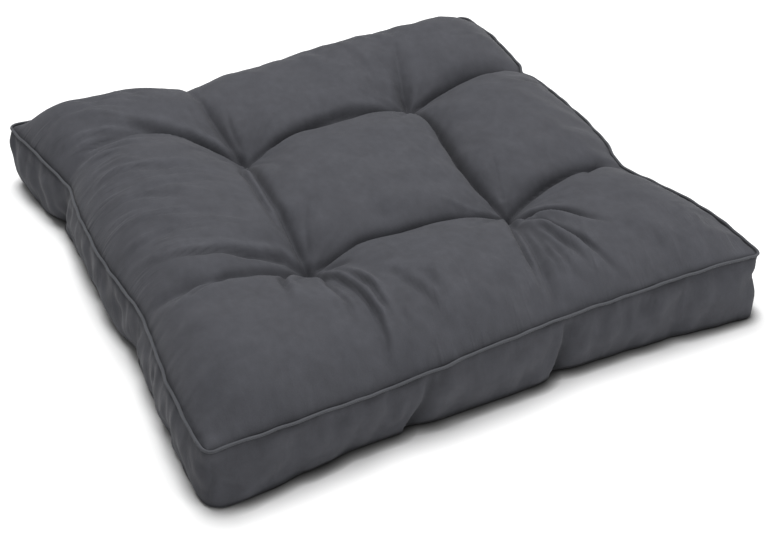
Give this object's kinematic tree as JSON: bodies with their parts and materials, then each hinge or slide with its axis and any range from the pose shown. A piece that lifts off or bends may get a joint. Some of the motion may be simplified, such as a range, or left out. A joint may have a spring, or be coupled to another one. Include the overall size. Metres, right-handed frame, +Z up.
{
  "type": "lounge cushion",
  "caption": "Square tufted lounge cushion with a puffed top, a boxed side and a piped top seam, in plain dark grey brushed cloth.",
  "frame": {"origin": "on the surface that the cushion lies on, under the middle of its outline", "axes": "+Z up, out of the tufted face; +X to the right along the front side; +Y from the front side to the back side"},
  "size_m": [0.6206, 0.6152, 0.121],
  "materials": {
    "cover_cloth": "matt brushed microfibre cloth, charcoal grey",
    "piping_cloth": "the same cloth, cut on the bias over a cord",
    "tuft_thread": "twisted upholstery thread"
  },
  "bodies": {
    "root": {"cushion": "cover_cloth", "piping": "piping_cloth", "tuft_stitch_front_left_top": "tuft_thread", "tuft_stitch_front_left_under": "tuft_thread", "tuft_stitch_front_right_top": "tuft_thread", "tuft_stitch_front_right_under": "tuft_thread", "tuft_stitch_back_left_top": "tuft_thread", "tuft_stitch_back_left_under": "tuft_thread", "tuft_stitch_back_right_top": "tuft_thread", "tuft_stitch_back_right_under": "tuft_thread"}
  },
  "joints": []
}
